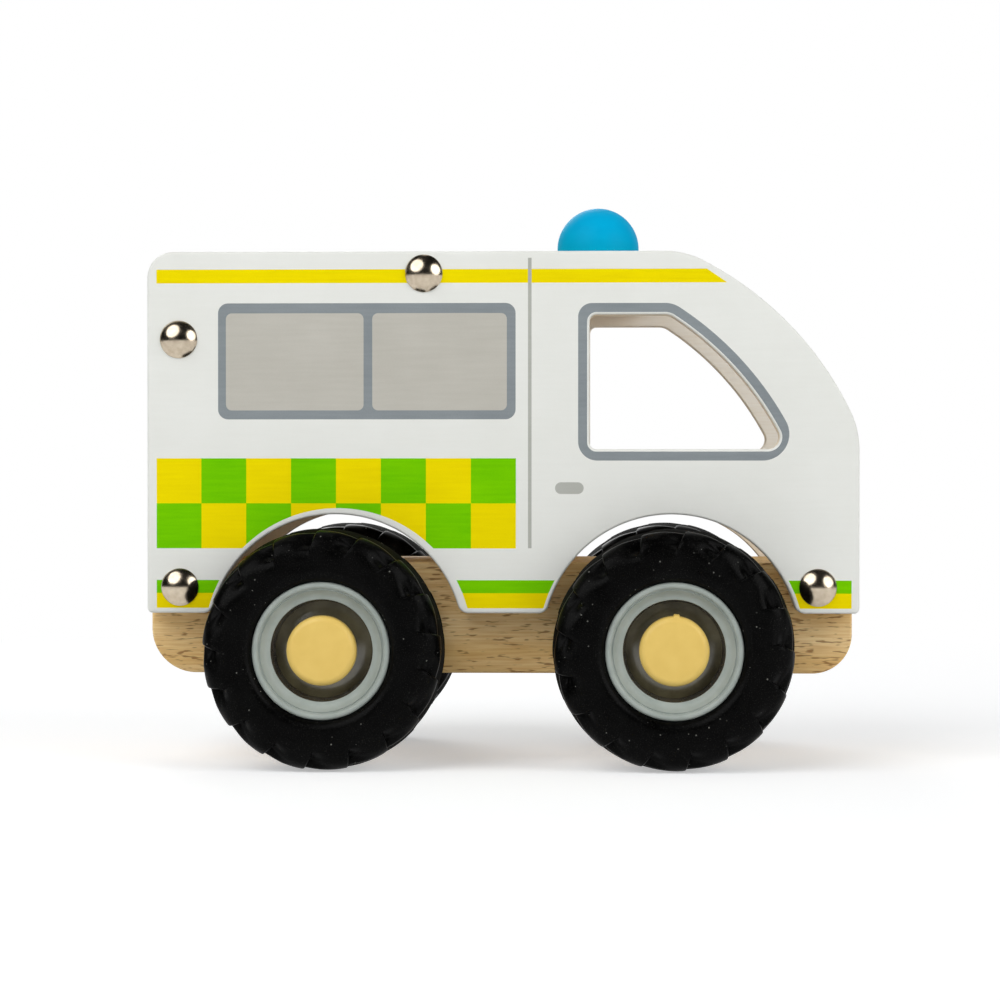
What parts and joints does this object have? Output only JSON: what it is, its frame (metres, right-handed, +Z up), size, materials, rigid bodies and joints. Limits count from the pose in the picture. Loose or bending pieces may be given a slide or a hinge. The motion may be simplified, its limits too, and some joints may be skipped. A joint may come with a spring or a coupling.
{
  "type": "toy ambulance",
  "caption": "Wooden toy ambulance: printed plywood sides nailed to a block chassis, with an open cab, a domed beacon and lugged rubber wheels that turn on steel axles.",
  "frame": {"origin": "on the ground under the middle of the toy", "axes": "+X to the front of the toy, +Y to its left side, +Z up"},
  "size_m": [0.1346, 0.0816, 0.1075],
  "materials": {
    "beech": "oiled",
    "printed_plywood": "satin white paint with printed stripes and checks",
    "blue_paint": "gloss paint",
    "nickel": "polished",
    "axle_steel": "drawn",
    "tyre_rubber": "matte",
    "rim_plastic": "satin",
    "cap_plastic": "satin"
  },
  "bodies": {
    "body": {"chassis": "beech", "side_panel_right": "printed_plywood", "side_panel_left": "printed_plywood", "roof_board": "beech", "back_board": "beech", "beacon": "blue_paint", "panel_nails_right": "nickel", "panel_nails_left": "nickel"},
    "front_axle": {"front_axle": "axle_steel", "axle_cap_front_right": "cap_plastic", "axle_cap_front_left": "cap_plastic"},
    "rear_axle": {"rear_axle": "axle_steel", "axle_cap_rear_right": "cap_plastic", "axle_cap_rear_left": "cap_plastic"},
    "wheel_front_right": {"tyre_front_right": "tyre_rubber", "rim_front_right": "rim_plastic"},
    "wheel_front_left": {"tyre_front_left": "tyre_rubber", "rim_front_left": "rim_plastic"},
    "wheel_rear_right": {"tyre_rear_right": "tyre_rubber", "rim_rear_right": "rim_plastic"},
    "wheel_rear_left": {"tyre_rear_left": "tyre_rubber", "rim_rear_left": "rim_plastic"}
  },
  "joints": [
    {"name": "front_axle_turn", "type": "hinge", "parent": "body", "child": "front_axle", "pos_m": [0.0322, 0, 0.0225], "axis": [0, 1, 0], "continuous": true},
    {"name": "rear_axle_turn", "type": "hinge", "parent": "body", "child": "rear_axle", "pos_m": [-0.0331, 0, 0.0225], "axis": [0, 1, 0], "continuous": true},
    {"name": "wheel_front_right_spin", "type": "hinge", "parent": "front_axle", "child": "wheel_front_right", "pos_m": [0.0322, -0.0318, 0.0225], "axis": [0, 1, 0], "continuous": true},
    {"name": "wheel_front_left_spin", "type": "hinge", "parent": "front_axle", "child": "wheel_front_left", "pos_m": [0.0322, 0.0318, 0.0225], "axis": [0, 1, 0], "continuous": true},
    {"name": "wheel_rear_right_spin", "type": "hinge", "parent": "rear_axle", "child": "wheel_rear_right", "pos_m": [-0.0331, -0.0318, 0.0225], "axis": [0, 1, 0], "continuous": true},
    {"name": "wheel_rear_left_spin", "type": "hinge", "parent": "rear_axle", "child": "wheel_rear_left", "pos_m": [-0.0331, 0.0318, 0.0225], "axis": [0, 1, 0], "continuous": true}
  ]
}
